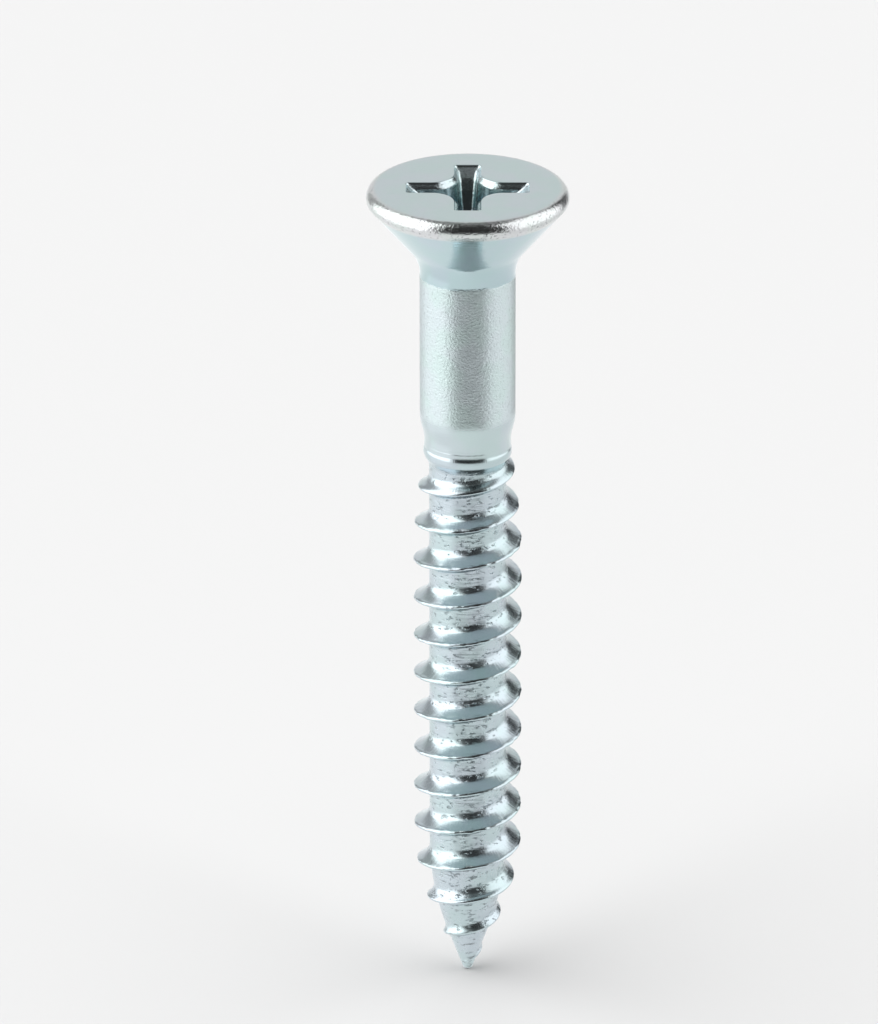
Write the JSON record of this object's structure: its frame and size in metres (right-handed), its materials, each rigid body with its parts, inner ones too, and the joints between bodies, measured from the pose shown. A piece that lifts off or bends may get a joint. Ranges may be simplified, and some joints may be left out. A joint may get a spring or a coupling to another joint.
{
  "type": "wood screw",
  "caption": "Zinc-plated countersunk wood screw with a flat cross-recessed head, a plain shank and a rolled thread running down to a gimlet point.",
  "frame": {"origin": "centre of the head's flat face, at the mouth of the driver recess", "axes": "+Z along the screw's axis and out of the head, so the point is at z = -0.0254; the recess's four wings lie along X and Y"},
  "size_m": [0.006, 0.006, 0.0254],
  "materials": {
    "zinc_plated_steel": "bright zinc plating with a clear blue-grey passivation, lightly speckled from the rolling"
  },
  "bodies": {
    "root": {"wood_screw": "zinc_plated_steel"}
  },
  "joints": []
}
